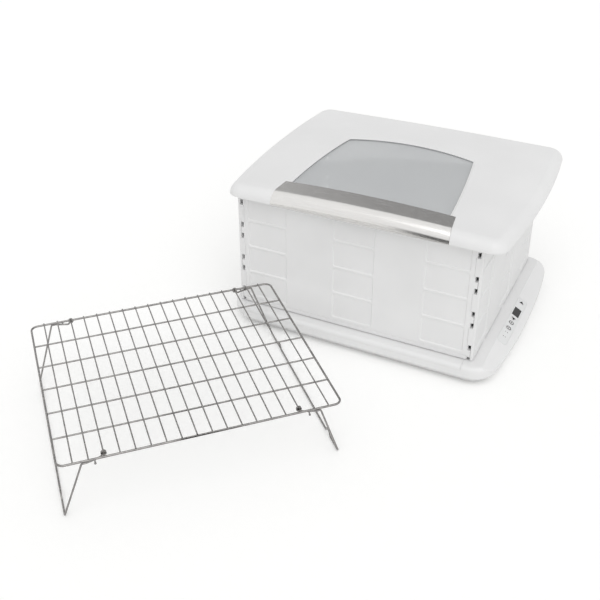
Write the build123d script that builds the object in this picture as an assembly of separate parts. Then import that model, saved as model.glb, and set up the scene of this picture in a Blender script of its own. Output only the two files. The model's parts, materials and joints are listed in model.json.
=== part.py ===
"""Folding dough proofer with its wire rack, as an assembly of separate pieces.

Millimetres, +X right along the front, +Y to the back, +Z up. The origin is on the
surface that the proofer stands on, under the middle of its base.
"""

from build123d import *
import math
import os

os.makedirs("parts", exist_ok=True)

# ---------------------------------------------------------------- chamber's plan
chamber_width = 393.0          # outside of the side walls
chamber_depth = 331.0          # outside of the front and back walls

# ---------------------------------------------------------------- plan outline
left_ledge = 22.0              # base beside the chamber, where it is widest
right_ledge = 42.0             # wider, for the console
end_ledge = 18.5               # base in front of and behind the chamber
side_bow = 12.0                # how far each side bows out past its corners
rear_scoop = 9.0               # how far the rear edge is hollowed between the corners
base_corner_radius = 38.0
lid_corner_radius = 24.0
outline_width = chamber_width + left_ledge + right_ledge
outline_depth = chamber_depth + 2 * end_ledge
chamber_shift = (left_ledge - right_ledge) / 2

# ---------------------------------------------------------------- heights
foot_height = 4.0
shoulder_z = 17.0              # where the undercut of the base ends
deck_z = 35.0                  # top of the base round the chamber
lid_bottom_z = 234.0           # lower edge of the lid

# ---------------------------------------------------------------- skins and fits
skin = 2.5                     # moulded housing wall
fit_gap = 0.3                  # between pieces that slide or seat
seat_gap = fit_gap / 3         # between pieces that are pressed together
hinge_play = 0.05              # radial play of a pin in its eye
press_play = 0.01              # radial play of a pin pressed into its hole

# ---------------------------------------------------------------- cuts and joins
overcut = 1.0                  # how far a cutting body runs past what it opens
joint_root = 1.0               # how far a joined piece starts inside its carrier
joint_lap = 0.1                # the same where the carrier is thin or round
pick_tolerance = 0.01          # for picking edges by their place

# ---------------------------------------------------------------- base
base_rim_radius = 7.0
pan_undercut = 12.0            # how far the underside draws in
pan_rim_wall = 4.0             # pan's wall at its upper edge
pan_rib_count = 5
pan_rib_thickness = 2.0
pan_rib_inset = 10.0           # ends of the ribs inside the well
foot_radius = 10.0
foot_edge_radius = 0.8
foot_inset_x = 62.0
foot_inset_y = 52.0
base_head_radius = 2.9
base_head_height = 2.0
base_head_recess = 3.0         # depth of a head's seat from below
base_head_play = 0.4
base_thread_radius = 1.305
base_thread_play = 0.493       # round the thread in the pan's boss
base_screw_length = 9.0
base_pilot_depth = 6.0         # of the hole in the housing's boss
base_boss_wall = 1.6           # boss beyond the screw's head
base_screw_gap = 7.0           # middle of a screw outside the well's wall
base_screw_inset = 78.0        # outer rows of screws from the ends of the outline
kerb_gap = 0.9                 # between the rear kerb and the back wall's foot
cover_bottom_z = 28.0          # lower edge of the front hinge cover
cover_side_gap = 2.0           # cover's ends inside the corner strips
cover_back_gap = 1.5           # cover's back edge in front of the front wall
front_latch_width = 24.0
front_latch_depth = 4.2
front_latch_height = 5.0
front_latch_spacing = 198.0    # between the two latch inserts
front_latch_back = 9.0         # centre of the inserts behind the front edge
front_latch_drop = 0.6         # top of the inserts below the deck
latch_slot_width = 2.4         # dark slot at each end of an insert
latch_slot_depth = 2.5         # floor of the slots below the deck

# ---------------------------------------------------------------- chamber's walls
wall_foot_gap = 1.5            # between the deck and the standing walls
wall_top_gap = 0.6             # walls' top under the lid's lower edge
side_wall_thickness = 4.0
panel_thickness = 6.5          # front and back walls
return_width = 10.5            # strip of each side wall that wraps round the corner
return_thickness = 2.4
wall_corner_radius = 2.2

# interlocking fingers of the front and back walls
finger_count = 4
finger_foot_rise = 13.0        # middle of the lowest finger over the deck
finger_top_drop = 6.6          # middle of the highest below the walls' top
finger_height = 10.6
finger_width = 4.7
notch_height = 29.6
notch_top_gap = 2.0            # highest notch's end below the walls' top
notch_foot_rise = 2.2          # lowest opening beside a finger, over the hinge line
mouth_width = 1.6              # part of the notch that the panel closes again

# sunk brick pattern of the walls
brick_columns = 3
brick_rows = 4
brick_width = 67.5
brick_side_margin = 5.95       # outer bricks inside the folding walls' edges
brick_foot_rise = 12.3         # lowest row over the deck
brick_top_drop = 0.5           # highest row below the walls' top
brick_rib = 2.4
brick_depth = 1.4
brick_draft = 50.0             # slope of a sunk brick's sides from the wall's normal
groove_rise = 3.2              # shallow groove along the foot of a folding wall
groove_height = 1.2
groove_depth = 0.6
brick_corner = 4.0
side_brick_width = 59.0
side_brick_margin = 7.0        # outer bricks inside the side walls' ends

# folding hinges of the walls
wall_axis_height = 5.0         # front wall's hinge line over the deck
wall_pin_radius = 1.0
wall_pin_grip = 8.0            # length of pin inside the folding wall
wall_pin_cap = 0.8             # side wall left outside a pin's end
stack_gap = 0.6                # between the folded walls
knuckle_count = 3
knuckle_length = 12.0
knuckle_height = 4.0
knuckle_spacing = 105.0
side_pin_reach = 9.0           # pin beyond each side of a knuckle

# ---------------------------------------------------------------- well and heater
well_margin = 9.0              # deck left inside the walls
well_corner = 14.0
well_seat_width = 6.0
well_seat_thickness = 2.4
plate_top_z = 22.5
plate_thickness = 1.5
plate_rib_count = 5
plate_rib_width = 5.0
plate_rib_height = 0.7
plate_rib_end_x = 21.0         # ends of the ribs from the tray's and the well's sides
plate_rib_end_y = 28.0         # outer ribs from the well's ends
heater_thickness = 0.8
heater_band = 9.0
heater_pitch = 24.0
heater_runs = 9
heater_end_gap = 18.0          # band's turns inside the seat
pad_thickness = 5.0
pad_gap = 1.0                  # round the pad and in its two holes
sensor_radius = 3.0
sensor_length = 5.0
sensor_offset_x = 36.0
cutout_radius = 5.5
cutout_height = 4.0
cutout_offset_x = -36.0
cutout_tab_offset = 2.5
cutout_tab_thickness = 1.6
cutout_tab_width = 3.2
cutout_tab_length = 3.0
tray_width = 200.0
tray_depth = 150.0
tray_height = 12.5
tray_wall = 1.0
tray_corner = 16.0
tray_rim = 5.0

# ---------------------------------------------------------------- console
console_ridge_gap = 16.5       # chamber to where the deck breaks and slopes down
console_slope = 30.0           # degrees
overlay_width = 17.0
overlay_edge_gap = 0.1         # overlay below the ridge
overlay_up_end = 10.0          # overlay past the middle of the up button
overlay_low_end = 18.0         # overlay past the last indicators
overlay_thickness = 0.6
button_radius = 4.8
button_flange = 1.2
button_flange_thickness = 1.0
button_travel = 0.6
button_proud = 0.3
button_edge_radius = 0.25
button_stem_radius = 1.6
switch_play = 0.1              # between a button's stem and its switch
display_y = 0.0
display_width = 12.5
display_length = 23.0
lens_play = 0.1
lens_lip = 1.6
lens_lip_thickness = 0.8
up_button_gap = 12.5           # display's opening to the flange of the up button
down_button_gap = 2.5          # display's opening to the flange of the down button
mode_button_gap = 1.0          # between the flanges of the down and mode buttons
power_button_gap = 4.0         # between the flanges of the mode and power buttons
indicator_gap = 6.0            # flange of the power button to the first indicators
board_thickness = 1.6
board_drop = 9.5               # board's top below the sloped face
board_wider = 5.0              # than the overlay
board_shorter = 6.0            # than the overlay
board_hole_radius = 1.2
board_screw_radius = 2.2
board_screw_head = 1.4
board_boss_radius = 2.6
switch_size = 6.0
switch_body = 2.0
switch_height = 3.0
switch_plunger = 1.5
indicator_rows = 2
indicator_pitch = 13.0
indicator_radius = 0.8
indicator_offset = 1.9
inlet_side_inset = 78.5        # inlet's middle inside the base's right side
inlet_width = 22.0
inlet_height = 9.6
inlet_depth = 14.0
inlet_wall = 1.8
inlet_floor = 3.6
inlet_proud = 0.5              # inlet's rim behind the base's rear face
inlet_rise = 5.0               # inlet's middle over the shoulder
inlet_pin_radius = 1.2
inlet_pin_spacing = 8.6
inlet_pin_drop = 2.5           # pins' ends inside the rim

# ---------------------------------------------------------------- lid
lid_crown_rise = 33.0          # highest point over the lid's lower edge
middle_edge_rise = 12.0        # sides of the arch over the lid's middle
front_crown_rise = 18.5        # arch over its front: middle and sides
front_edge_rise = 14.5
rear_crown_rise = 15.5         # arch over its rear
rear_edge_rise = 15.0
crown_overrun = 12.0           # how far the arches stand beyond the outline
lid_edge_radius = 18.0
trim_depth = 42.5              # from the lid's front edge
trim_front_margin = 89.0       # ends of the trim inside the lid's sides
trim_rear_margin = 94.5
trim_overrun = 10.0            # how far the trim's plan runs in front of the lid
trim_inset = 1.2
trim_proud = 0.5
window_hidden = 4.5            # front of the opening under the steel trim
window_rear_inset = 146.0      # from the lid's rear edge
window_rear_bow = 14.0
window_front_margin = 102.8    # ends of the opening inside the lid's sides
window_rear_margin = 123.5
window_side_bow = 3.0
window_corner = 3.5
window_bevel_width = 4.0
window_bevel_depth = 1.6
pane_lap = 6.0
pane_thickness = 2.5
gasket_thickness = 1.0
gasket_width = 4.0
gasket_reveal = 0.4            # seal's edge back from the opening
liner_thickness = 2.0
liner_rise = 0.35              # liner's underside above the lid's lower edge
liner_margin = 12.0            # liner's raised part inside the walls
liner_corner = 24.0
lid_screw_radius = 2.4
lid_screw_length = 6.0
lid_screw_head = 1.3
lid_thread_radius = 1.1
lid_boss_radius = 4.0
lid_screw_inset = 12.0         # from the widest part of the outline
lid_screw_pitch = 100.0

# lid hinge
lid_axis_back = 5.4            # behind the back wall's face
lid_axis_drop = 3.5            # below the lid's lower edge
eye_radius = 3.0
lid_pin_radius = 1.2
lug_width = 4.0
ear_thickness = 2.6
bracket_plate = 1.6
arm_half = 1.5                 # half the thickness of a lid arm
bracket_height = 20.0
lid_hinge_shift = 0.4          # hinge's middle inside the middle of the corner strip

# ---------------------------------------------------------------- wire rack
rack_length = 372.0            # between the middles of the frame wires
rack_width = 313.0
rack_height = 92.0             # middle of the frame wire over the table
rack_x = -164.6
rack_y = -424.4
rack_turn = 45.3
rack_corner = 10.0
frame_wire = 3.0
long_wire = 2.4
cross_wire = 2.0
long_wire_count = 5
long_wire_inset = 52.5         # outer long wires from the frame's long sides
cross_wire_count = 18
cross_wire_inset = 19.4        # outer cross wires from the frame's short sides
leg_wire = 2.6
leg_hinge_wire = 2             # legs turn on this cross wire, counted from each end
leg_eye_gap = 2.2              # between a leg's eye and the frame
leg_eye_angle = 60.0           # of the eye's wire where the tail leaves it
leg_eye_thicker = 0.1          # eye's wire than the leg's, all round
leg_tail = 4.2                 # eye's wire runs down over this length
leg_reach = 28.6               # hinge line to the shoulder
leg_shoulder_out = 0.5         # shoulder outside the frame's middle line
leg_straight = 6.0             # before the shoulder's bend
foot_splay = 30.0              # foot rail beyond the shoulder
foot_in = 10.5                 # ends of the foot rail inside the frame's middle line
foot_bump = 6.0                # raised step of the foot rail
foot_bump_in = 43.5            # step inside the frame's middle line
foot_bump_length = 8.0
foot_bump_slope = 4.5
leg_bend = 2.2
stub_past_hinge = 12.1         # stubs from the legs' hinge line
stub_radius = 1.1
stub_ball_radius = 1.6
stub_reach = 3.8
stub_drop = 4.0

parts = {}


def block(x0, x1, y0, y1, z0, z1):
    """Box between two corners."""
    size = (x1 - x0, y1 - y0, z1 - z0)
    return Pos((x0 + x1) / 2, (y0 + y1) / 2, (z0 + z1) / 2) * Box(*size)


def rod(radius, start, end):
    """Round bar from one point to another."""
    direction = Vector(*end) - Vector(*start)
    plane = Plane(origin=start, z_dir=direction)
    return extrude(plane * Circle(radius), direction.length)


def tube_along(points, radius, bends):
    """Bent wire through points, with one bend radius for each inner point."""
    path = FilletPolyline(*points, radius=bends)
    return sweep(Plane(origin=path @ 0, z_dir=path % 0) * Circle(radius), path=path)


def outline(inset, corner):
    """Plan shape of base and lid: straight front, bowed sides, hollow rear, round corners."""
    half_w = outline_width / 2 - side_bow - inset
    half_d = outline_depth / 2 - inset
    front = Line((-half_w, -half_d), (half_w, -half_d))
    right = ThreePointArc((half_w, -half_d), (half_w + side_bow, 0), (half_w, half_d))
    rear = ThreePointArc((half_w, half_d), (0, half_d - rear_scoop), (-half_w, half_d))
    left = ThreePointArc((-half_w, half_d), (-half_w - side_bow, 0), (-half_w, -half_d))
    face = make_face([front, right, rear, left])
    return fillet(face.vertices(), corner - inset)


def slab(sketch, z0, z1):
    """A plan sketch raised between two heights."""
    return extrude(Pos(0, 0, z0) * sketch, z1 - z0)


# ------------------------------------------------------------ places worked out
chamber_front = -chamber_depth / 2
chamber_back = chamber_depth / 2
wall_foot_z = deck_z + wall_foot_gap
plate_bottom_z = plate_top_z - plate_thickness
well_width = chamber_width - 2 * side_wall_thickness - 2 * well_margin
well_depth = chamber_depth - 2 * panel_thickness - 2 * well_margin
lip_thickness = panel_thickness - return_thickness - fit_gap
lip_reach = return_width - side_wall_thickness - fit_gap
front_axis_y = chamber_front + return_thickness + fit_gap + lip_thickness / 2
front_axis_z = deck_z + wall_axis_height
back_axis_y = -front_axis_y
back_axis_z = front_axis_z + panel_thickness + stack_gap
back_foot_z = back_axis_z - wall_axis_height + wall_foot_gap
console_ridge_x = chamber_shift + chamber_width / 2 + console_ridge_gap
console_place = Pos(console_ridge_x, 0, deck_z) * Rot(0, console_slope, 0)
console_u = overlay_width / 2 + overlay_edge_gap
button_reach = button_radius + button_flange
up_button_y = display_y + display_length / 2 + up_button_gap + button_reach
down_button_y = display_y - display_length / 2 - down_button_gap - button_reach
mode_button_y = down_button_y - mode_button_gap - 2 * button_reach
power_button_y = mode_button_y - power_button_gap - 2 * button_reach
indicator_first_y = power_button_y - button_reach - indicator_gap
indicator_last_y = indicator_first_y - (indicator_rows - 1) * indicator_pitch
overlay_top_y = up_button_y + overlay_up_end
overlay_low_y = indicator_last_y - overlay_low_end
overlay_length = overlay_top_y - overlay_low_y
overlay_centre_y = (overlay_top_y + overlay_low_y) / 2
overlay_corner = overlay_width / 3
board_width = overlay_width + board_wider
board_length = overlay_length - board_shorter
board_top = -board_drop
board_bottom = board_top - board_thickness
inlet_x = outline_width / 2 - inlet_side_inset
lid_axis_y = chamber_back + lid_axis_back
lid_axis_z = lid_bottom_z - lid_axis_drop
wall_top_z = lid_bottom_z - wall_top_gap
liner_bottom_z = lid_bottom_z + liner_rise
liner_top_z = liner_bottom_z + liner_thickness
lid_crown_z = lid_bottom_z + lid_crown_rise
above_lid_z = 2 * lid_crown_z
trim_rear_y = -outline_depth / 2 + trim_depth
trim_front_half = outline_width / 2 - trim_front_margin
trim_rear_half = outline_width / 2 - trim_rear_margin
window_front_y = trim_rear_y - window_hidden
window_rear_y = outline_depth / 2 - window_rear_inset
window_front_half = outline_width / 2 - window_front_margin
window_rear_half = outline_width / 2 - window_rear_margin
hinge_half_span = chamber_width / 2 - return_width / 2 - lid_hinge_shift
panel_half = chamber_width / 2 - return_width - fit_gap
finger_first_z = deck_z + finger_foot_rise
finger_pitch = (wall_top_z - finger_top_drop - finger_first_z) / (finger_count - 1)
brick_first_z = deck_z + brick_foot_rise
brick_pitch_z = (wall_top_z - brick_top_drop - brick_first_z) / brick_rows
brick_pitch_x = (2 * (panel_half - brick_side_margin) - brick_width) / (brick_columns - 1)
side_brick_pitch = (chamber_depth - 2 * side_brick_margin - side_brick_width) / (brick_columns - 1)
button_rows = {
    "up_button": up_button_y,
    "down_button": down_button_y,
    "mode_button": mode_button_y,
    "power_button": power_button_y,
}


# ------------------------------------------------------------ base
def foot_places():
    """Middles of the four feet."""
    x = outline_width / 2 - foot_inset_x
    y = outline_depth / 2 - foot_inset_y
    return [(sx * x, sy * y) for sx in (-1, 1) for sy in (-1, 1)]


def screw_places():
    """Middles of the six screws that hold the pan to the housing."""
    x = well_width / 2 + skin + base_screw_gap
    reach = outline_depth / 2 - base_screw_inset
    rows = (-reach, 0.0, reach)
    return [(chamber_shift + side * x, y) for side in (-1, 1) for y in rows]


def rail_zone(gap):
    """Space of the front hinge cover, in front of the folding wall."""
    half = chamber_width / 2 - return_width - cover_side_gap + gap
    return block(
        chamber_shift - half,
        chamber_shift + half,
        -outline_depth,
        chamber_front - cover_back_gap + gap,
        cover_bottom_z - gap,
        deck_z + overcut,
    )


def above_console(depth):
    """Everything above the sloped console face, lowered by depth."""
    reach = outline_width / 2
    return console_place * block(-reach, reach, -outline_depth, outline_depth, -depth, reach)


def housing_shell():
    """Outer skin of the base's upper half: rounded rim, and the sloped console on the right."""
    body = slab(outline(0, base_corner_radius), shoulder_z, deck_z)
    rim = body.edges().group_by(Axis.Z)[-1]
    body = fillet(rim, base_rim_radius) - above_console(0)
    hollow = slab(outline(skin, base_corner_radius), shoulder_z - overcut, deck_z - base_rim_radius)
    roof = slab(outline(skin + base_rim_radius, base_corner_radius), shoulder_z, deck_z - skin)
    under_slope = above_console(skin)
    return body - (hollow - under_slope) - (roof - under_slope)


def well_sketch(grow):
    """Plan of the well under the chamber."""
    plan = RectangleRounded(well_width + 2 * grow, well_depth + 2 * grow, well_corner + grow)
    return Pos(chamber_shift, 0) * plan


def knuckle_places():
    """Middles of the side wall knuckles along the depth."""
    return [(i - (knuckle_count - 1) / 2) * knuckle_spacing for i in range(knuckle_count)]


def side_axis_x(side):
    """Hinge line of a side wall, in the middle of its thickness."""
    return chamber_shift + side * (chamber_width - side_wall_thickness) / 2


def build_base_housing():
    """Upper half of the base: deck, rim, well, hinge kerb, knuckles and console cut-outs."""
    body = housing_shell()
    seat_bottom = plate_bottom_z - well_seat_thickness
    body += slab(well_sketch(skin), seat_bottom, deck_z - skin / 2)
    body -= slab(well_sketch(0), plate_bottom_z, deck_z + overcut)
    body -= slab(well_sketch(-well_seat_width), seat_bottom - overcut, plate_bottom_z)
    body += block(
        chamber_shift - panel_half,
        chamber_shift + panel_half,
        chamber_back - panel_thickness,
        chamber_back,
        deck_z - joint_root,
        back_foot_z - kerb_gap,
    )
    for side in (-1, 1):
        axis_x = side_axis_x(side)
        half = side_wall_thickness / 2
        for y in knuckle_places():
            body += block(
                axis_x - half,
                axis_x + half,
                y - knuckle_length / 2,
                y + knuckle_length / 2,
                deck_z - joint_root,
                wall_foot_z + knuckle_height,
            )
            reach = knuckle_length / 2 + side_pin_reach
            pin_z = wall_foot_z + knuckle_height / 2
            start = (axis_x, y - reach, pin_z)
            end = (axis_x, y + reach, pin_z)
            body -= rod(wall_pin_radius + hinge_play, start, end)
    body -= rail_zone(fit_gap)
    body -= console_recess()
    for hole in console_openings():
        body -= hole
    for u, y in board_boss_places():
        boss = rod(board_boss_radius, (u, y, board_top), (u, y, -skin / 2))
        body += console_place * boss
    for x, y in screw_places():
        foot = (x, y, shoulder_z - overcut)
        body += rod(base_head_radius + base_boss_wall, (x, y, shoulder_z), (x, y, deck_z - skin / 2))
        body -= rod(base_thread_radius, foot, (x, y, shoulder_z + base_pilot_depth))
    body -= inlet_body(seat_gap)
    return body


def build_front_cover():
    """Cover over the front wall's hinge line, with sockets for the two latch inserts."""
    body = housing_shell() & rail_zone(0)
    for x in latch_places():
        body -= latch_insert(x, seat_gap)
    return body


def latch_places():
    """Middles of the two latch inserts along the front."""
    return [-front_latch_spacing / 2, front_latch_spacing / 2]


def latch_insert(x, gap):
    """One latch insert let into the front cover."""
    y = -outline_depth / 2 + front_latch_back
    half_w = front_latch_width / 2 + gap
    half_d = front_latch_depth / 2 + gap
    top = deck_z - front_latch_drop
    return block(x - half_w, x + half_w, y - half_d, y + half_d, top - front_latch_height, top)


def build_front_latches():
    """Two inserts that the closed lid's catches grip when the proofer is folded."""
    y = -outline_depth / 2 + front_latch_back
    inserts = []
    for x in latch_places():
        body = latch_insert(x, 0)
        for end in (-1, 1):
            slot_x = x + end * (front_latch_width / 2 - latch_slot_width)
            slot = Box(latch_slot_width, front_latch_depth / 2, 2 * latch_slot_depth)
            body -= Pos(slot_x, y, deck_z) * slot
        inserts.append(body)
    return Compound(children=inserts)


def build_base_pan():
    """Underside of the base: drawn-in shell with ribs that carry the pad, and screw bosses."""
    outer = loft(
        [
            Pos(0, 0, foot_height) * outline(pan_undercut, base_corner_radius),
            Pos(0, 0, shoulder_z) * outline(0, base_corner_radius),
        ]
    )
    inner = loft(
        [
            Pos(0, 0, foot_height + skin) * outline(pan_undercut + skin / 2, base_corner_radius),
            Pos(0, 0, shoulder_z) * outline(pan_rim_wall, base_corner_radius),
        ]
    )
    body = outer - inner
    pad_bottom = plate_bottom_z - heater_thickness - pad_thickness
    rib_reach = well_depth / 2 - pan_rib_inset
    half = pan_rib_thickness / 2
    floor = foot_height + skin / 2
    for i in range(pan_rib_count):
        x = chamber_shift + (i - (pan_rib_count - 1) / 2) * well_width / (pan_rib_count + 1)
        body += block(x - half, x + half, -rib_reach, rib_reach, floor, pad_bottom)
    for x, y in screw_places():
        foot = (x, y, foot_height - overcut)
        body += rod(base_head_radius + base_boss_wall, (x, y, floor), (x, y, shoulder_z))
        body -= rod(base_thread_radius + base_thread_play, foot, (x, y, shoulder_z + overcut))
        body -= rod(base_head_radius + base_head_play, foot, (x, y, foot_height + base_head_recess))
    body -= inlet_body(seat_gap)
    return body


def build_base_feet():
    """Four rubber feet."""
    feet = []
    for x, y in foot_places():
        foot = rod(foot_radius, (x, y, 0), (x, y, foot_height))
        foot = fillet(foot.edges().group_by(Axis.Z)[0], foot_edge_radius)
        feet.append(foot)
    return Compound(children=feet)


def build_base_screws():
    """Six pan-head screws from below."""
    screws = []
    seat = foot_height + base_head_recess
    for x, y in screw_places():
        screw = rod(base_head_radius, (x, y, seat - base_head_height), (x, y, seat))
        screw += rod(base_thread_radius, (x, y, seat), (x, y, seat + base_screw_length))
        screws.append(screw)
    return Compound(children=screws)


# ------------------------------------------------------------ heater
def build_heating_plate():
    """Aluminium plate on the well's seat, with pressed ribs."""
    body = slab(well_sketch(-fit_gap), plate_bottom_z, plate_top_z)
    pitch = (well_depth - 2 * plate_rib_end_y) / (plate_rib_count - 1)
    room = (well_width - tray_width) / 2
    for i in range(plate_rib_count):
        y = (i - (plate_rib_count - 1) / 2) * pitch
        for side in (-1, 1):
            x = chamber_shift + side * (tray_width + room) / 2
            rib = Pos(x, y) * SlotOverall(room - 2 * plate_rib_end_x, plate_rib_width)
            body += slab(rib, plate_bottom_z + joint_root, plate_top_z + plate_rib_height)
    return body


def build_heating_element():
    """Flat heating band laid to and fro under the plate."""
    top = plate_bottom_z
    run = heater_pitch * (heater_runs - 1)
    reach = well_depth / 2 - well_seat_width - heater_end_gap
    x0 = chamber_shift - run / 2
    body = None
    for i in range(heater_runs):
        x = x0 + i * heater_pitch
        band = block(
            x - heater_band / 2, x + heater_band / 2, -reach, reach, top - heater_thickness, top
        )
        body = band if body is None else body + band
    for i in range(heater_runs - 1):
        end = 1 if i % 2 else -1
        x = x0 + i * heater_pitch
        y = end * (reach - heater_band / 2)
        body += block(
            x,
            x + heater_pitch,
            y - heater_band / 2,
            y + heater_band / 2,
            top - heater_thickness,
            top,
        )
    return body


def build_insulation_pad():
    """Insulating pad that presses the heating band against the plate."""
    top = plate_bottom_z - heater_thickness
    body = slab(well_sketch(-well_seat_width - pad_gap), top - pad_thickness, top)
    for offset, radius in ((sensor_offset_x, sensor_radius), (cutout_offset_x, cutout_radius)):
        x = chamber_shift + offset
        foot = (x, 0, top - pad_thickness - overcut)
        body -= rod(radius + pad_gap, foot, (x, 0, top + overcut))
    return body


def build_temperature_sensor():
    """Bead sensor held against the plate."""
    x = chamber_shift + sensor_offset_x
    return rod(sensor_radius, (x, 0, plate_bottom_z - sensor_length), (x, 0, plate_bottom_z))


def build_thermal_cutout():
    """Safety cut-out disc against the plate."""
    x = chamber_shift + cutout_offset_x
    base = plate_bottom_z - cutout_height
    body = rod(cutout_radius, (x, 0, base), (x, 0, plate_bottom_z))
    half_x = cutout_tab_thickness / 2
    half_y = cutout_tab_width / 2
    for side in (-1, 1):
        tab_x = x + side * cutout_tab_offset
        tab_foot = base - cutout_tab_length
        body += block(tab_x - half_x, tab_x + half_x, -half_y, half_y, tab_foot, base)
    return body


def tray_shape(inset, floor):
    """Body of the water tray, drawn in by inset and raised to floor."""
    plan = RectangleRounded(
        tray_width - 2 * inset, tray_depth - 2 * inset, tray_corner - inset
    )
    top = plate_top_z + tray_height
    return slab(Pos(chamber_shift, 0) * plan, plate_top_z + floor, top + (overcut if inset else 0))


def build_water_tray():
    """Shallow aluminium water tray with a flat rim."""
    top = plate_top_z + tray_height
    rim_plan = RectangleRounded(
        tray_width + 2 * tray_rim, tray_depth + 2 * tray_rim, tray_corner + tray_rim
    )
    body = tray_shape(0, 0) + slab(Pos(chamber_shift, 0) * rim_plan, top - tray_wall, top)
    return body - tray_shape(tray_wall, tray_wall)


# ------------------------------------------------------------ console
def overlay_plan(grow):
    """Plan of the overlay in the console's own plane."""
    size = (overlay_width + 2 * grow, overlay_length + 2 * grow)
    return Pos(console_u, overlay_centre_y) * RectangleRounded(*size, overlay_corner)


def console_recess():
    """Pocket of the console's overlay in the sloped face."""
    return console_place * slab(overlay_plan(fit_gap), -overlay_thickness, overcut)


def console_openings():
    """Holes through the sloped face for the four buttons and the display."""
    depth = 4 * skin
    holes = [Pos(console_u, display_y, 0) * Box(display_width, display_length, depth)]
    for y in button_rows.values():
        holes.append(Pos(console_u, y, 0) * Cylinder(button_radius + fit_gap, depth))
    return [console_place * hole for hole in holes]


def board_boss_places():
    """Middles of the bosses that hold the control board, in the console's own plane."""
    u = board_width / 2 - board_boss_radius
    y = board_length / 2 - board_boss_radius
    corners = [(-u, -y), (u, -y), (-u, y), (u, y)]
    return [(console_u + cu, overlay_centre_y + cy) for cu, cy in corners]


def build_control_overlay():
    """Thin printed overlay with holes for the buttons, display and indicator lights."""
    body = console_place * slab(overlay_plan(0), -overlay_thickness, 0)
    for hole in console_openings():
        body -= hole
    for i in range(indicator_rows):
        y = indicator_first_y - i * indicator_pitch
        for side in (-1, 1):
            place = Pos(console_u + side * indicator_offset, y, 0)
            body -= console_place * (place * Cylinder(indicator_radius, 4 * overlay_thickness))
    return body


def build_button(y):
    """One button cap with its flange and stem, over its switch."""
    stem_foot = board_top + switch_height + button_travel + switch_play
    flange_top = -skin - fit_gap
    flange_foot = flange_top - button_flange_thickness
    body = rod(button_radius, (console_u, y, flange_foot), (console_u, y, button_proud))
    body = fillet(body.edges().group_by(Axis.Z)[-1], button_edge_radius)
    body += rod(button_reach, (console_u, y, flange_foot), (console_u, y, flange_top))
    stem_top = (console_u, y, flange_foot + joint_lap)
    body += rod(button_stem_radius, (console_u, y, stem_foot), stem_top)
    return console_place * body


def build_display_lens():
    """Dark lens of the display, flush with the overlay and lipped under the housing."""
    half_w = display_width / 2 - lens_play
    half_l = display_length / 2 - lens_play
    lip_top = -skin
    body = block(-half_w, half_w, -half_l, half_l, lip_top, 0)
    half_w += lens_lip
    half_l += lens_lip
    body += block(-half_w, half_w, -half_l, half_l, lip_top - lens_lip_thickness, lip_top)
    return console_place * (Pos(console_u, display_y, 0) * body)


def build_display_module():
    """Two-digit display block between the board and its lens."""
    half_w = display_width / 2
    half_l = display_length / 2
    body = block(-half_w, half_w, -half_l, half_l, board_top, -skin - lens_lip_thickness)
    return console_place * (Pos(console_u, display_y, 0) * body)


def build_control_board():
    """Control board hung under the sloped face, with its screw holes."""
    plan = Pos(console_u, overlay_centre_y) * Rectangle(board_width, board_length)
    body = slab(plan, board_bottom, board_top)
    for u, y in board_boss_places():
        foot = (u, y, board_bottom - overcut)
        body -= rod(board_hole_radius, foot, (u, y, board_top + overcut))
    return console_place * body


def build_board_screws():
    """Screws of the control board."""
    screws = []
    for u, y in board_boss_places():
        foot = (u, y, board_bottom - board_screw_head)
        head = rod(board_screw_radius, foot, (u, y, board_bottom))
        screws.append(console_place * head)
    return Compound(children=screws)


def build_button_switches():
    """Push switches under the four buttons."""
    switches = []
    half = switch_size / 2
    for y in button_rows.values():
        body_top = board_top + switch_body
        body = block(-half, half, -half, half, board_top, body_top)
        root = (0, 0, body_top - joint_root)
        body += rod(switch_plunger, root, (0, 0, board_top + switch_height))
        switches.append(console_place * (Pos(console_u, y, 0) * body))
    return Compound(children=switches)


def inlet_rear_y():
    """Rim of the inlet, just behind the hollowed rear face of the base."""
    half_w = outline_width / 2 - side_bow
    return outline_depth / 2 - rear_scoop * (1 - (inlet_x / half_w) ** 2) + inlet_proud


def inlet_block(inset, front_y, rear_y):
    """Block round the inlet's middle, drawn in by inset, between two depths."""
    half_w = inlet_width / 2 - inset
    half_h = inlet_height / 2 - inset
    mid = shoulder_z + inlet_rise
    return block(
        inlet_x - half_w, inlet_x + half_w, front_y, rear_y, mid - half_h, mid + half_h
    )


def inlet_body(gap):
    """Outer block of the power inlet, grown by gap."""
    rear = inlet_rear_y()
    return inlet_block(-gap, rear - inlet_depth - gap, rear)


def build_power_inlet():
    """Two-pin mains inlet in the rear face; its lead is unplugged."""
    rear = inlet_rear_y()
    mid = shoulder_z + inlet_rise
    floor = rear - inlet_depth + inlet_floor
    body = inlet_body(0) - inlet_block(inlet_wall, floor, rear + overcut)
    for side in (-1, 1):
        x = inlet_x + side * inlet_pin_spacing / 2
        root = (x, floor - joint_root, mid)
        body += rod(inlet_pin_radius, root, (x, rear - inlet_pin_drop, mid))
    return body


# ------------------------------------------------------------ side walls
def finger_levels():
    """Heights of the interlocking fingers."""
    return [finger_first_z + i * finger_pitch for i in range(finger_count)]


def back_finger_levels():
    """Heights of the back wall's fingers, clear of its kerb and of the lid's hinge."""
    return finger_levels()[1:-1]


def sunk_brick(plane, width):
    """One brick of the sunk pattern, its sides drafted, cut from the plane's side inwards."""
    plan = RectangleRounded(width, brick_pitch_z - brick_rib, brick_corner)
    return extrude(plane * plan, brick_depth, taper=brick_draft)


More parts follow.
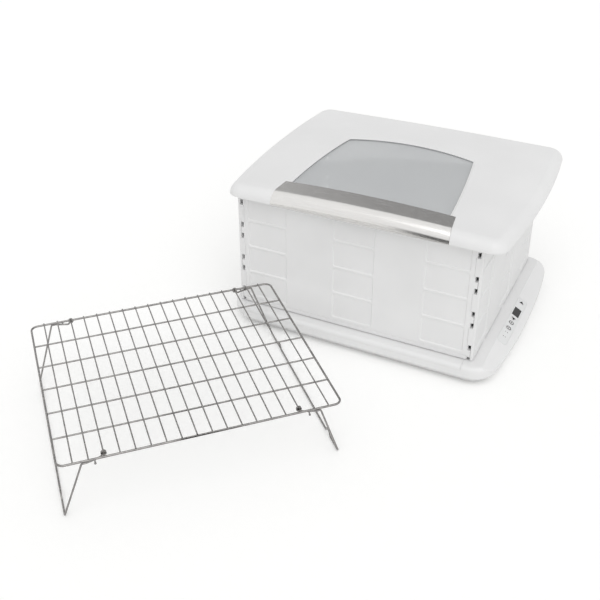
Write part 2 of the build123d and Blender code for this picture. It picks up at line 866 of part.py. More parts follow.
def side_bricks(side):
    """Sunk bricks on the outside of a side wall."""
    face_x = chamber_shift + side * chamber_width / 2
    sunk = []
    for column in range(brick_columns):
        y = (column - (brick_columns - 1) / 2) * side_brick_pitch
        for row in range(brick_rows):
            z = brick_first_z + (row + 0.5) * brick_pitch_z
            plane = Plane(origin=(face_x, y, z), x_dir=(0, 1, 0), z_dir=(-side, 0, 0))
            sunk.append(sunk_brick(plane, side_brick_width))
    return sunk


def build_side_wall(side):
    """Side wall whose ends wrap round the corners as notched strips."""
    outer_x = chamber_shift + side * chamber_width / 2
    panel_x = outer_x - side * side_wall_thickness
    strip_x = outer_x - side * return_width
    lo, hi = sorted((outer_x, panel_x))
    body = block(lo, hi, chamber_front, chamber_back, wall_foot_z, wall_top_z)
    lo, hi = sorted((outer_x, strip_x))
    body += block(
        lo, hi, chamber_front, chamber_front + return_thickness, wall_foot_z, wall_top_z
    )
    body += block(
        lo, hi, chamber_back - return_thickness, chamber_back, wall_foot_z, wall_top_z
    )
    upright = body.edges().filter_by(Axis.Z)
    outer_edges = upright.filter_by(lambda e: abs(e.center().X - outer_x) < pick_tolerance)
    body = fillet(outer_edges, wall_corner_radius)
    notch_x = strip_x + side * (mouth_width + finger_width)
    lo, hi = sorted((strip_x - side * overcut, notch_x))
    depth = return_thickness + joint_lap
    for y, end, levels in (
        (chamber_front, 1, finger_levels()),
        (chamber_back, -1, back_finger_levels()),
    ):
        y0, y1 = sorted((y - end * overcut, y + end * depth))
        for z in levels:
            z0 = z - notch_height / 2
            z1 = min(z + notch_height / 2, wall_top_z - notch_top_gap)
            body -= block(lo, hi, y0, y1, z0, z1)
    for brick in side_bricks(side):
        body -= brick
    axis_x = side_axis_x(side)
    pin_z = wall_foot_z + knuckle_height / 2
    for y in knuckle_places():
        body -= block(
            axis_x - side_wall_thickness,
            axis_x + side_wall_thickness,
            y - knuckle_length / 2 - fit_gap,
            y + knuckle_length / 2 + fit_gap,
            wall_foot_z - overcut,
            wall_foot_z + knuckle_height + fit_gap,
        )
        reach = knuckle_length / 2 + side_pin_reach + fit_gap
        start = (axis_x, y - reach, pin_z)
        end = (axis_x, y + reach, pin_z)
        body -= rod(wall_pin_radius + hinge_play, start, end)
    for axis_y, axis_z in ((front_axis_y, front_axis_z), (back_axis_y, back_axis_z)):
        start = (panel_x - side * overcut, axis_y, axis_z)
        end = (outer_x - side * wall_pin_cap, axis_y, axis_z)
        body -= rod(wall_pin_radius + press_play, start, end)
    return body


def build_side_wall_pins():
    """Hinge pins in the knuckles of both side walls."""
    pins = []
    for side in (-1, 1):
        x = side_axis_x(side)
        z = wall_foot_z + knuckle_height / 2
        for y in knuckle_places():
            reach = knuckle_length / 2 + side_pin_reach
            pins.append(rod(wall_pin_radius, (x, y - reach, z), (x, y + reach, z)))
    return Compound(children=pins)


def build_wall_pins(axis_y, axis_z):
    """Pair of pivot pins from the side walls into a folding wall."""
    pins = []
    for side in (-1, 1):
        outer_x = chamber_shift + side * chamber_width / 2
        start = (outer_x - side * wall_pin_cap, axis_y, axis_z)
        inner_x = outer_x - side * (side_wall_thickness + fit_gap + wall_pin_grip)
        pins.append(rod(wall_pin_radius, start, (inner_x, axis_y, axis_z)))
    return Compound(children=pins)


# ------------------------------------------------------------ folding walls
def build_folding_wall(levels, foot_z, axis_z):
    """Front wall: panel between the strips, lips behind them and fingers in their notches."""
    axis_y = front_axis_y
    face_y = chamber_front
    inner_y = chamber_front + panel_thickness
    lip_y = inner_y - lip_thickness
    left = chamber_shift - panel_half
    right = chamber_shift + panel_half
    body = block(left, right, face_y, inner_y, foot_z, wall_top_z)
    for side in (-1, 1):
        edge = chamber_shift + side * panel_half
        root = edge - side * joint_root
        lip_end = edge + side * lip_reach
        lo, hi = sorted((root, lip_end))
        body += block(lo, hi, lip_y, inner_y, axis_z, wall_top_z)
        body += rod(lip_thickness / 2, (lo, axis_y, axis_z), (hi, axis_y, axis_z))
        mouth = edge + side * (mouth_width + fit_gap)
        finger_end = mouth + side * (finger_width - 2 * fit_gap)
        for z in levels:
            z0 = max(z - notch_height / 2 + fit_gap, axis_z - wall_axis_height / 2)
            z1 = min(z + notch_height / 2, wall_top_z - notch_top_gap) - fit_gap
            finger_foot = z - finger_height / 2
            finger_top = min(z + finger_height / 2, z1)
            lo, hi = sorted((root, mouth - side * fit_gap))
            body += block(lo, hi, face_y, lip_y + joint_lap, z0, z1)
            lo, hi = sorted((root, finger_end))
            body += block(lo, hi, face_y, lip_y + joint_lap, finger_foot, finger_top)
            lo, hi = sorted((mouth, finger_end))
            cut = (lo, hi, lip_y - overcut, inner_y + overcut)
            if z0 < finger_foot:
                body -= block(*cut, max(z0, axis_z + notch_foot_rise), finger_foot)
            if finger_top < z1:
                body -= block(*cut, finger_top, z1)
        start = (lip_end + side * overcut, axis_y, axis_z)
        end = (lip_end - side * (wall_pin_grip + fit_gap), axis_y, axis_z)
        body -= rod(wall_pin_radius + hinge_play, start, end)
    groove_z = axis_z + groove_rise
    groove_top = groove_z + groove_height
    body -= block(left, right, face_y - overcut, face_y + groove_depth, groove_z, groove_top)
    for column in range(brick_columns):
        x = chamber_shift + (column - (brick_columns - 1) / 2) * brick_pitch_x
        for row in range(brick_rows):
            z = brick_first_z + (row + 0.5) * brick_pitch_z
            plane = Plane(origin=(x, face_y, z), x_dir=(1, 0, 0), z_dir=(0, 1, 0))
            if z - brick_pitch_z / 2 > foot_z + brick_rib:
                body -= sunk_brick(plane, brick_width)
    return body


def build_front_wall():
    """Front wall, which folds inwards onto the well."""
    return build_folding_wall(finger_levels(), wall_foot_z, front_axis_z)


def build_back_wall():
    """Back wall, hinged one thickness higher so that it folds onto the front wall."""
    wall = build_folding_wall(back_finger_levels(), back_foot_z, back_axis_z)
    return mirror(wall, about=Plane.XZ)


# ------------------------------------------------------------ lid
def crown_body(inset):
    """Solid under the lid's arched top, lowered by inset: an arch in front, middle and rear."""
    half = outline_width / 2 + crown_overrun
    end = outline_depth / 2 + crown_overrun
    floor = lid_bottom_z - 4 * lid_edge_radius
    arches = (
        (-end, front_crown_rise, front_edge_rise),
        (0, lid_crown_rise, middle_edge_rise),
        (end, rear_crown_rise, rear_edge_rise),
    )
    sections = []
    for y, crown_rise, edge_rise in arches:
        crown = lid_bottom_z + crown_rise
        edge = lid_bottom_z + edge_rise
        plane = Plane(origin=(0, y, -inset), x_dir=(1, 0, 0), z_dir=(0, -1, 0))
        top = ThreePointArc((-half, edge), (0, crown), (half, edge))
        sides = Polyline((half, edge), (half, floor), (-half, floor), (-half, edge))
        sections.append(plane * make_face([top, sides]))
    return loft(sections)


def lid_core(inset):
    """Lid's outer form, drawn in by inset: arched top, rounded edge, flat underside."""
    deep = lid_bottom_z - 3 * lid_edge_radius
    body = crown_body(inset) & slab(outline(inset, lid_corner_radius), deep, above_lid_z)
    top = body.faces().sort_by(Axis.Z)[-1]
    body = fillet(top.edges(), lid_edge_radius - inset)
    return body & slab(outline(-overcut, lid_corner_radius), lid_bottom_z, above_lid_z)


def window_plan(grow):
    """Window opening: wider at the front, all edges slightly bowed."""
    front = window_front_y - grow
    rear = window_rear_y + grow
    front_half = window_front_half + grow
    rear_half = window_rear_half + grow
    side_y = (front + rear) / 2
    side_x = (front_half + rear_half) / 2 + window_side_bow
    edges = [
        Line((-front_half, front), (front_half, front)),
        ThreePointArc((front_half, front), (side_x, side_y), (rear_half, rear)),
        ThreePointArc((rear_half, rear), (0, rear + window_rear_bow), (-rear_half, rear)),
        ThreePointArc((-rear_half, rear), (-side_x, side_y), (-front_half, front)),
    ]
    face = make_face(edges)
    return fillet(face.vertices(), window_corner + max(grow, -window_corner / 2))


def crown_layer(plan, outer_inset, inner_inset):
    """Part of the crown over a plan, between two depths below the lid's top."""
    column = slab(plan, lid_bottom_z, above_lid_z)
    return (column & crown_body(outer_inset)) - crown_body(inner_inset)


def trim_zone(gap):
    """Space of the steel front trim, narrower at its rear."""
    front = -outline_depth / 2 - trim_overrun
    flare = (trim_front_half - trim_rear_half) / trim_depth
    reach = trim_front_half + flare * trim_overrun + gap
    points = [
        (-reach, front),
        (reach, front),
        (trim_rear_half + gap, trim_rear_y + gap),
        (-trim_rear_half - gap, trim_rear_y + gap),
    ]
    return slab(make_face(Polyline(*points, close=True)), lid_bottom_z - overcut, above_lid_z)


def build_lid_shell(core, trim_floor):
    """Outer shell of the lid: bevelled window opening and the recess of the steel trim."""
    body = core - slab(window_plan(0), lid_bottom_z - overcut, above_lid_z)
    top = body.faces().sort_by(Axis.Z)[-1]
    rim = top.inner_wires()[0].edges()
    body = chamfer(rim, window_bevel_width, window_bevel_depth, reference=top)
    body -= lid_core(skin)
    body -= (core - trim_floor) & trim_zone(fit_gap)
    boss_limit = lid_core(skin / 2)
    for x, y in lid_screw_places():
        boss = rod(lid_boss_radius, (x, y, liner_top_z), (x, y, lid_crown_z))
        body += boss & boss_limit
        tip = liner_top_z + lid_screw_length
        body -= rod(lid_thread_radius, (x, y, liner_top_z - overcut), (x, y, tip))
    return body


def lid_screw_places():
    """Middles of the six screws between the lid's shell and liner."""
    x = outline_width / 2 - lid_screw_inset
    rows = (-lid_screw_pitch, 0.0, lid_screw_pitch)
    return [(side * x, y) for side in (-1, 1) for y in rows]


def build_lid_liner():
    """Inner shell of the lid: flat margin over the walls and a raised middle."""
    margin = slab(outline(skin + fit_gap, lid_corner_radius), liner_bottom_z, liner_top_z)
    width = chamber_width - 2 * side_wall_thickness - 2 * liner_margin
    depth = chamber_depth - 2 * panel_thickness - 2 * liner_margin
    depth_in = skin + gasket_thickness + pane_thickness + fit_gap
    middle = Pos(chamber_shift, 0)
    plan = middle * RectangleRounded(width, depth, liner_corner)
    raised = slab(plan, liner_bottom_z, above_lid_z) & crown_body(depth_in)
    plan = middle * RectangleRounded(
        width - 2 * liner_thickness, depth - 2 * liner_thickness, liner_corner - liner_thickness
    )
    hollow = slab(plan, liner_bottom_z - overcut, above_lid_z)
    hollow = hollow & crown_body(depth_in + liner_thickness)
    body = (margin + raised - hollow) & lid_core(skin + fit_gap)
    body -= slab(window_plan(0), liner_top_z, above_lid_z)
    for x, y in lid_screw_places():
        foot = (x, y, liner_bottom_z - overcut)
        body -= rod(lid_thread_radius + fit_gap, foot, (x, y, liner_top_z + overcut))
        body -= rod(lid_screw_radius + fit_gap, foot, (x, y, liner_bottom_z + lid_screw_head))
    return body


def build_window_gasket():
    """Seal between the shell and the pane."""
    ring = window_plan(gasket_width) - window_plan(gasket_reveal)
    return crown_layer(ring, skin + seat_gap, skin + gasket_thickness - seat_gap)


def build_window_pane():
    """Smoky clear pane, curved with the lid's crown."""
    top = skin + gasket_thickness
    return crown_layer(window_plan(pane_lap), top, top + pane_thickness)


def build_handle_trim(proud_core, trim_floor):
    """Brushed steel trim wrapped over the lid's front edge; left bare."""
    return (proud_core - trim_floor) & trim_zone(0)


def build_lid_screws():
    """Screws from the liner up into the shell, their heads sunk in the liner."""
    screws = []
    for x, y in lid_screw_places():
        head = liner_bottom_z + lid_screw_head
        tip = liner_bottom_z + lid_screw_length
        screw = rod(lid_screw_radius, (x, y, liner_bottom_z), (x, y, head))
        screw += rod(lid_thread_radius, (x, y, head - joint_lap), (x, y, tip))
        screws.append(screw)
    return Compound(children=screws)


def build_lid_hinge_brackets():
    """Brackets on the rear of the side walls, two ears each."""
    brackets = []
    for side in (-1, 1):
        mid = chamber_shift + side * hinge_half_span
        half = lug_width / 2 + fit_gap + ear_thickness
        body = block(
            mid - half,
            mid + half,
            chamber_back,
            chamber_back + bracket_plate,
            lid_axis_z - bracket_height + eye_radius,
            lid_axis_z + eye_radius,
        )
        for ear in (-1, 1):
            inner = mid + ear * (lug_width / 2 + fit_gap)
            outer = mid + ear * half
            lo, hi = sorted((inner, outer))
            body += block(
                lo,
                hi,
                chamber_back,
                lid_axis_y,
                lid_axis_z - eye_radius,
                lid_axis_z + eye_radius,
            )
            body += rod(eye_radius, (lo, lid_axis_y, lid_axis_z), (hi, lid_axis_y, lid_axis_z))
        start = (mid - half - overcut, lid_axis_y, lid_axis_z)
        end = (mid + half + overcut, lid_axis_y, lid_axis_z)
        body -= rod(lid_pin_radius + press_play, start, end)
        brackets.append(body)
    return Compound(children=brackets)


def build_lid_hinge_pins():
    """Pins of the lid hinge."""
    pins = []
    for side in (-1, 1):
        mid = chamber_shift + side * hinge_half_span
        half = lug_width / 2 + fit_gap + ear_thickness
        start = (mid - half, lid_axis_y, lid_axis_z)
        end = (mid + half, lid_axis_y, lid_axis_z)
        pins.append(rod(lid_pin_radius, start, end))
    return Compound(children=pins)


def build_lid_hinge_arms():
    """Arms from the lid's liner down to the hinge pins."""
    arms = []
    for side in (-1, 1):
        mid = chamber_shift + side * hinge_half_span
        half = lug_width / 2
        left = (mid - half, lid_axis_y, lid_axis_z)
        body = rod(eye_radius, left, (mid + half, lid_axis_y, lid_axis_z))
        body += block(
            mid - half,
            mid + half,
            lid_axis_y - arm_half,
            lid_axis_y + arm_half,
            lid_axis_z,
            liner_bottom_z,
        )
        start = (mid - half - overcut, lid_axis_y, lid_axis_z)
        end = (mid + half + overcut, lid_axis_y, lid_axis_z)
        body -= rod(lid_pin_radius + hinge_play, start, end)
        arms.append(body)
    return Compound(children=arms)


# ------------------------------------------------------------ rack
rack_place = Pos(rack_x, rack_y, 0) * Rot(0, 0, rack_turn)
long_wire_pitch = (rack_width - 2 * long_wire_inset) / (long_wire_count - 1)
cross_wire_pitch = (rack_length - 2 * cross_wire_inset) / (cross_wire_count - 1)
cross_wire_z = rack_height + (frame_wire + cross_wire) / 2
leg_hinge_u = ((cross_wire_count - 1) / 2 - leg_hinge_wire) * cross_wire_pitch


def build_rack_frame():
    """Closed frame wire of the rack, with round corners."""
    plan = RectangleRounded(rack_length, rack_width, rack_corner)
    path = (Pos(0, 0, rack_height) * plan).wire()
    section = Plane(origin=path @ 0, z_dir=path % 0) * Circle(frame_wire / 2)
    return rack_place * sweep(section, path=path)


def build_rack_long_wires():
    """Inner wires along the rack, between the short sides of the frame."""
    wires = []
    z = rack_height + (frame_wire - long_wire) / 2
    reach = rack_length / 2 - frame_wire / 2
    for i in range(long_wire_count):
        v = (i - (long_wire_count - 1) / 2) * long_wire_pitch
        wires.append(rack_place * rod(long_wire / 2, (-reach, v, z), (reach, v, z)))
    return Compound(children=wires)


def build_rack_cross_wires():
    """Thin wires across the top of the frame and the long wires."""
    wires = []
    z = cross_wire_z
    reach = rack_width / 2
    for i in range(cross_wire_count):
        u = (i - (cross_wire_count - 1) / 2) * cross_wire_pitch
        wires.append(rack_place * rod(cross_wire / 2, (u, -reach, z), (u, reach, z)))
    return Compound(children=wires)


def build_rack_leg_pivots(frame):
    """Four ball-ended stubs under the frame, just outside the legs' hinges."""
    stubs = []
    for su in (-1, 1):
        for sv in (-1, 1):
            u = su * (leg_hinge_u + stub_past_hinge)
            root = (u, sv * rack_width / 2, rack_height)
            tip = (u, sv * (rack_width / 2 + stub_reach), rack_height - stub_drop)
            stub = rod(stub_radius, root, tip)
            stub += Pos(*tip) * Sphere(stub_ball_radius)
            stubs.append(rack_place * stub - frame)
    return Compound(children=stubs)


def build_rack_leg(side):
    """Folding leg: two eyes round a cross wire, two splayed arms and a stepped foot rail."""
    hole = cross_wire / 2 + hinge_play
    eye_line = hole + leg_wire / 2
    eye_v = rack_width / 2 - frame_wire / 2 - leg_eye_gap - leg_wire / 2
    under_z = rack_height - frame_wire / 2 - fit_gap - leg_wire / 2
    floor_z = leg_wire / 2
    angle = math.radians(leg_eye_angle)
    eye_u = leg_hinge_u + eye_line * math.cos(angle)
    shoulder_u = leg_hinge_u + leg_reach
    shoulder_v = rack_width / 2 + leg_shoulder_out
    foot_u = shoulder_u + foot_splay
    bump_v = rack_width / 2 - foot_bump_in
    bump_end = bump_v - foot_bump_length
    arm = [
        (eye_u, eye_v, cross_wire_z - eye_line * math.sin(angle)),
        (leg_hinge_u + leg_tail, eye_v, under_z),
        (shoulder_u - leg_straight, shoulder_v, under_z),
        (shoulder_u, shoulder_v, under_z),
        (foot_u, rack_width / 2 - foot_in, floor_z),
        (foot_u, bump_v + foot_bump_slope, floor_z),
        (foot_u, bump_v, floor_z + foot_bump),
        (foot_u, bump_end, floor_z + foot_bump),
        (foot_u, bump_end - foot_bump_slope, floor_z),
    ]
    near = [(side * u, -v, z) for u, v, z in arm]
    far = [(side * u, v, z) for u, v, z in reversed(arm)]
    body = tube_along(near + far, leg_wire / 2, leg_bend)
    half = leg_wire / 2 + leg_eye_thicker
    hinge_u = side * leg_hinge_u
    for sv in (-1, 1):
        start = (hinge_u, sv * eye_v - half, cross_wire_z)
        end = (hinge_u, sv * eye_v + half, cross_wire_z)
        body += rod(eye_line + half, start, end)
    for sv in (-1, 1):
        start = (hinge_u, sv * eye_v - 2 * half, cross_wire_z)
        end = (hinge_u, sv * eye_v + 2 * half, cross_wire_z)
        body -= rod(hole, start, end)
    return rack_place * body


# ------------------------------------------------------------ all pieces
core_outer = lid_core(0)
core_proud = lid_core(-trim_proud)
core_trim_floor = lid_core(trim_inset)

parts["base_housing"] = build_base_housing()
parts["front_hinge_cover"] = build_front_cover()
parts["front_latches"] = build_front_latches()
parts["base_pan"] = build_base_pan()
parts["base_feet"] = build_base_feet()
parts["base_screws"] = build_base_screws()
parts["heating_plate"] = build_heating_plate()
parts["heating_element"] = build_heating_element()
parts["insulation_pad"] = build_insulation_pad()
parts["temperature_sensor"] = build_temperature_sensor()
parts["thermal_cutout"] = build_thermal_cutout()
parts["water_tray"] = build_water_tray()
parts["control_overlay"] = build_control_overlay()
parts["display_lens"] = build_display_lens()
parts["display_module"] = build_display_module()
parts["control_board"] = build_control_board()
parts["board_screws"] = build_board_screws()
parts["button_switches"] = build_button_switches()
for name, y in button_rows.items():
    parts[name] = build_button(y)
parts["power_inlet"] = build_power_inlet()
parts["left_side_wall"] = build_side_wall(-1)
parts["right_side_wall"] = build_side_wall(1)
parts["side_wall_pins"] = build_side_wall_pins()
parts["front_wall_pins"] = build_wall_pins(front_axis_y, front_axis_z)
parts["back_wall_pins"] = build_wall_pins(back_axis_y, back_axis_z)
parts["front_wall"] = build_front_wall()
parts["back_wall"] = build_back_wall()
parts["lid_shell"] = build_lid_shell(core_outer, core_trim_floor)
parts["lid_liner"] = build_lid_liner()
parts["window_gasket"] = build_window_gasket()
parts["window_pane"] = build_window_pane()
parts["handle_trim"] = build_handle_trim(core_proud, core_trim_floor)
parts["lid_screws"] = build_lid_screws()
parts["lid_hinge_brackets"] = build_lid_hinge_brackets()
parts["lid_hinge_pins"] = build_lid_hinge_pins()
parts["lid_hinge_arms"] = build_lid_hinge_arms()
parts["rack_frame"] = build_rack_frame()
parts["rack_long_wires"] = build_rack_long_wires()
parts["rack_cross_wires"] = build_rack_cross_wires()
parts["rack_leg_pivots"] = build_rack_leg_pivots(parts["rack_frame"])
parts["rack_left_leg"] = build_rack_leg(-1)
parts["rack_right_leg"] = build_rack_leg(1)

for name, shape in parts.items():
    export_step(shape, f"parts/{name}.step")
print(len(parts), "pieces")
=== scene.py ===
"""Looks of the folding dough proofer and its wire rack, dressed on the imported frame.

Lengths are metres in the frame of the solids: X to the right along the front, Y to the
back, Z up. Sizes that come from the drawing are given in millimetres and turned by MM.
"""

import json
import logging
import math
from dataclasses import dataclass
from enum import Enum

import bpy
import numpy as np
from mathutils import Matrix, Vector


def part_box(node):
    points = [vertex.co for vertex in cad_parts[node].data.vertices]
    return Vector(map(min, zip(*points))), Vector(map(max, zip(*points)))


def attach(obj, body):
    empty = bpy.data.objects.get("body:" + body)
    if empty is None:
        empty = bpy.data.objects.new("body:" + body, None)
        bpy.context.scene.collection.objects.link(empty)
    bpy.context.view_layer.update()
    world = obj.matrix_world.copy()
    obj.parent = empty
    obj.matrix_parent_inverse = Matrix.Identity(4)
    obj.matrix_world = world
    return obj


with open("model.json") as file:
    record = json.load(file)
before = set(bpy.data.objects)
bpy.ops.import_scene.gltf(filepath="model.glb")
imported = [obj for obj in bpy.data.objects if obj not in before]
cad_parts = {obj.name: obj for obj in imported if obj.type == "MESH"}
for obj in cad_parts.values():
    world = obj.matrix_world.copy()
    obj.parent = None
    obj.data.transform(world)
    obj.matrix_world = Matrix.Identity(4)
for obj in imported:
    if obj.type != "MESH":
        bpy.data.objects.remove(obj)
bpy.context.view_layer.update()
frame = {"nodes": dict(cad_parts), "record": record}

MM = 0.001
NOISE_RANGE = (0.3, 0.7)       # where nearly all of the noise lies
SHEEN_SWING = 0.05             # how far the roughness departs from its middle
METAL_SWING = 0.06             # the same for brushed metal
BUMP_STRENGTH = 0.6
NODES: dict[str, bpy.types.Object] = frame["nodes"]
log = logging.getLogger("proofer")


# ------------------------------------------------------------ shader helpers
def linear(hex_colour: str) -> tuple[float, float, float, float]:
    """Turns an sRGB hex colour to linear light.

    Args:
        hex_colour: six hex digits after a hash sign.

    Returns:
        Red, green, blue and an alpha of one.
    """
    values = [int(hex_colour[i:i + 2], 16) / 255 for i in (1, 3, 5)]
    turned = [v / 12.92 if v <= 0.04045 else ((v + 0.055) / 1.055) ** 2.4 for v in values]
    return (turned[0], turned[1], turned[2], 1.0)


def add(tree: bpy.types.NodeTree, kind: str, settings: dict | None = None,
        inputs: dict | None = None) -> bpy.types.Node:
    """Adds one shader node, sets it and links it.

    Args:
        tree: node tree that gets the node.
        kind: Blender's name of the node type.
        settings: attributes of the node.
        inputs: socket name or number, with a value or an output socket to link.

    Returns:
        The new node.
    """
    node = tree.nodes.new(kind)
    for name, value in (settings or {}).items():
        setattr(node, name, value)
    for name, value in (inputs or {}).items():
        if isinstance(value, bpy.types.NodeSocket):
            tree.links.new(value, node.inputs[name])
        else:
            node.inputs[name].default_value = value
    return node


def new_material(name: str) -> bpy.types.Material:
    """Makes an empty node material of that name."""
    material = bpy.data.materials.new(name)
    material.use_nodes = True
    material.node_tree.nodes.clear()
    return material


def ramp(tree: bpy.types.NodeTree, factor: bpy.types.NodeSocket,
         stops: list[tuple[float, tuple[float, float, float, float]]]) -> bpy.types.NodeSocket:
    """Colour ramp over a factor.

    Args:
        tree: node tree of the material.
        factor: socket that drives the ramp.
        stops: position and colour of each stop, in order.

    Returns:
        The ramp's colour socket.
    """
    node = add(tree, "ShaderNodeValToRGB", inputs={"Fac": factor})
    elements = node.color_ramp.elements
    while len(elements) < len(stops):
        elements.new(0.5)
    for element, (position, colour) in zip(elements, stops):
        element.position = position
        element.color = colour
    return node.outputs["Color"]


def noise(tree: bpy.types.NodeTree, place: bpy.types.NodeSocket, size_mm: float,
          stretch: tuple[float, float, float] = (1.0, 1.0, 1.0),
          detail: float = 3.0) -> bpy.types.NodeSocket:
    """Noise whose features are about size_mm across, drawn out by stretch.

    Args:
        tree: node tree of the material.
        place: coordinates in metres.
        size_mm: size of one feature.
        stretch: how many times longer the feature is along X, Y and Z.
        detail: number of finer layers.

    Returns:
        The noise value socket.
    """
    scale = tuple(1.0 / (size_mm * MM * s) for s in stretch)
    mapped = add(tree, "ShaderNodeMapping", inputs={"Vector": place, "Scale": scale})
    cloud = add(tree, "ShaderNodeTexNoise",
                inputs={"Vector": mapped.outputs[0], "Scale": 1.0, "Detail": detail})
    return cloud.outputs["Fac"]


def spread(tree: bpy.types.NodeTree, value: bpy.types.NodeSocket, middle: float,
           swing: float) -> bpy.types.NodeSocket:
    """Maps noise about one half to a range about middle.

    Args:
        tree: node tree of the material.
        value: noise socket.
        middle: result for noise of one half.
        swing: most that the result departs from middle.

    Returns:
        The mapped socket.
    """
    node = add(tree, "ShaderNodeMapRange", inputs={
        "Value": value, "From Min": NOISE_RANGE[0], "From Max": NOISE_RANGE[1],
        "To Min": middle - swing, "To Max": middle + swing})
    return node.outputs[0]


# ------------------------------------------------------------ finishes
@dataclass(frozen=True)
class MouldedPlastic:
    """Injection-moulded plastic with the fine spark texture of its tool.

    The tint drifts a little over a hand's width and the grain breaks up the sheen, so that
    the large pale faces read as satin plastic and not as paper.
    """

    name: str
    light: str
    dark: str
    roughness: float = 0.42
    grain_mm: float = 1.6
    grain_depth_mm: float = 0.03
    drift_mm: float = 90.0
    refraction: float = 1.5

    def build(self) -> bpy.types.Material:
        """Makes the material."""
        material = new_material(self.name)
        tree = material.node_tree
        place = add(tree, "ShaderNodeTexCoord").outputs["Object"]
        drift = noise(tree, place, self.drift_mm, detail=2.0)
        colour = ramp(tree, drift, [(0.35, linear(self.dark)), (0.65, linear(self.light))])
        grain = noise(tree, place, self.grain_mm)
        bump = add(tree, "ShaderNodeBump", inputs={
            "Height": grain, "Distance": self.grain_depth_mm * MM, "Strength": BUMP_STRENGTH})
        shader = add(tree, "ShaderNodeBsdfPrincipled", inputs={
            "Base Color": colour, "Roughness": spread(tree, grain, self.roughness, SHEEN_SWING),
            "IOR": self.refraction, "Normal": bump.outputs[0]})
        add(tree, "ShaderNodeOutputMaterial", inputs={"Surface": shader.outputs[0]})
        return material


@dataclass(frozen=True)
class BrushedSteel:
    """Sheet metal brushed in one direction.

    Hairlines pull the reflections into streaks along the brushing, and a slow drift of the
    tint keeps a long strip from looking like paint.
    """

    name: str
    light: str
    dark: str
    roughness: float = 0.3
    line_mm: float = 0.5
    along: tuple[float, float, float] = (160.0, 1.0, 1.0)
    depth_mm: float = 0.006

    def build(self) -> bpy.types.Material:
        """Makes the material."""
        material = new_material(self.name)
        tree = material.node_tree
        place = add(tree, "ShaderNodeTexCoord").outputs["Object"]
        hair = noise(tree, place, self.line_mm, stretch=self.along)
        colour = ramp(tree, hair, [(0.3, linear(self.dark)), (0.7, linear(self.light))])
        bump = add(tree, "ShaderNodeBump", inputs={
            "Height": hair, "Distance": self.depth_mm * MM, "Strength": BUMP_STRENGTH})
        shader = add(tree, "ShaderNodeBsdfPrincipled", inputs={
            "Base Color": colour, "Metallic": 1.0,
            "Roughness": spread(tree, hair, self.roughness, METAL_SWING),
            "Normal": bump.outputs[0]})
        add(tree, "ShaderNodeOutputMaterial", inputs={"Surface": shader.outputs[0]})
        return material


@dataclass(frozen=True)
class PlatedWire:
    """Drawn wire under thin nickel: a bright line along its top over a darker round body.

    A faint cloudiness a few millimetres long stands for handling marks and uneven plating.
    """

    name: str
    light: str
    dark: str
    roughness: float = 0.26
    cloud_mm: float = 7.0

    def build(self) -> bpy.types.Material:
        """Makes the material."""
        material = new_material(self.name)
        tree = material.node_tree
        place = add(tree, "ShaderNodeTexCoord").outputs["Object"]
        cloud = noise(tree, place, self.cloud_mm)
        colour = ramp(tree, cloud, [(0.35, linear(self.dark)), (0.65, linear(self.light))])
        shader = add(tree, "ShaderNodeBsdfPrincipled", inputs={
            "Base Color": colour, "Metallic": 1.0,
            "Roughness": spread(tree, cloud, self.roughness, SHEEN_SWING)})
        add(tree, "ShaderNodeOutputMaterial", inputs={"Surface": shader.outputs[0]})
        return material


@dataclass(frozen=True)
class SmokyPane:
    """Smoky moulded pane: two fifths of the light pass straight through its glossy skin.

    The share named cover meets pale plastic instead, which veils the chamber below. The light
    that passes also reaches the chamber.
    """

    name: str
    light: str
    dark: str
    cover: float = 0.6
    roughness: float = 0.08
    ripple_mm: float = 120.0
    ripple_depth_mm: float = 0.05
    ripple_strength: float = 0.2
    refraction: float = 1.45

    def build(self) -> bpy.types.Material:
        """Makes the material."""
        material = new_material(self.name)
        tree = material.node_tree
        place = add(tree, "ShaderNodeTexCoord").outputs["Object"]
        wave = noise(tree, place, self.ripple_mm, detail=1.0)
        colour = ramp(tree, wave, [(0.3, linear(self.dark)), (0.7, linear(self.light))])
        bump = add(tree, "ShaderNodeBump", inputs={
            "Height": wave, "Distance": self.ripple_depth_mm * MM,
            "Strength": self.ripple_strength})
        shader = add(tree, "ShaderNodeBsdfPrincipled", inputs={
            "Base Color": colour, "Roughness": self.roughness, "IOR": self.refraction,
            "Alpha": self.cover, "Normal": bump.outputs[0]})
        add(tree, "ShaderNodeOutputMaterial", inputs={"Surface": shader.outputs[0]})
        return material


@dataclass(frozen=True)
class NeedledFelt:
    """Mineral felt: matt, with a tangle of fibres."""

    name: str
    light: str
    dark: str
    fibre_mm: float = 1.5
    fibre_depth_mm: float = 0.4
    fibre_strength: float = 1.0
    fibre_stretch: tuple[float, float, float] = (4.0, 1.0, 1.0)
    roughness: float = 0.95
    sheen: float = 0.3

    def build(self) -> bpy.types.Material:
        """Makes the material."""
        material = new_material(self.name)
        tree = material.node_tree
        place = add(tree, "ShaderNodeTexCoord").outputs["Object"]
        tangle = noise(tree, place, self.fibre_mm, stretch=self.fibre_stretch, detail=6.0)
        colour = ramp(tree, tangle, [(0.3, linear(self.dark)), (0.7, linear(self.light))])
        bump = add(tree, "ShaderNodeBump", inputs={
            "Height": tangle, "Distance": self.fibre_depth_mm * MM,
            "Strength": self.fibre_strength})
        shader = add(tree, "ShaderNodeBsdfPrincipled", inputs={
            "Base Color": colour, "Roughness": self.roughness, "Sheen Weight": self.sheen,
            "Normal": bump.outputs[0]})
        add(tree, "ShaderNodeOutputMaterial", inputs={"Surface": shader.outputs[0]})
        return material


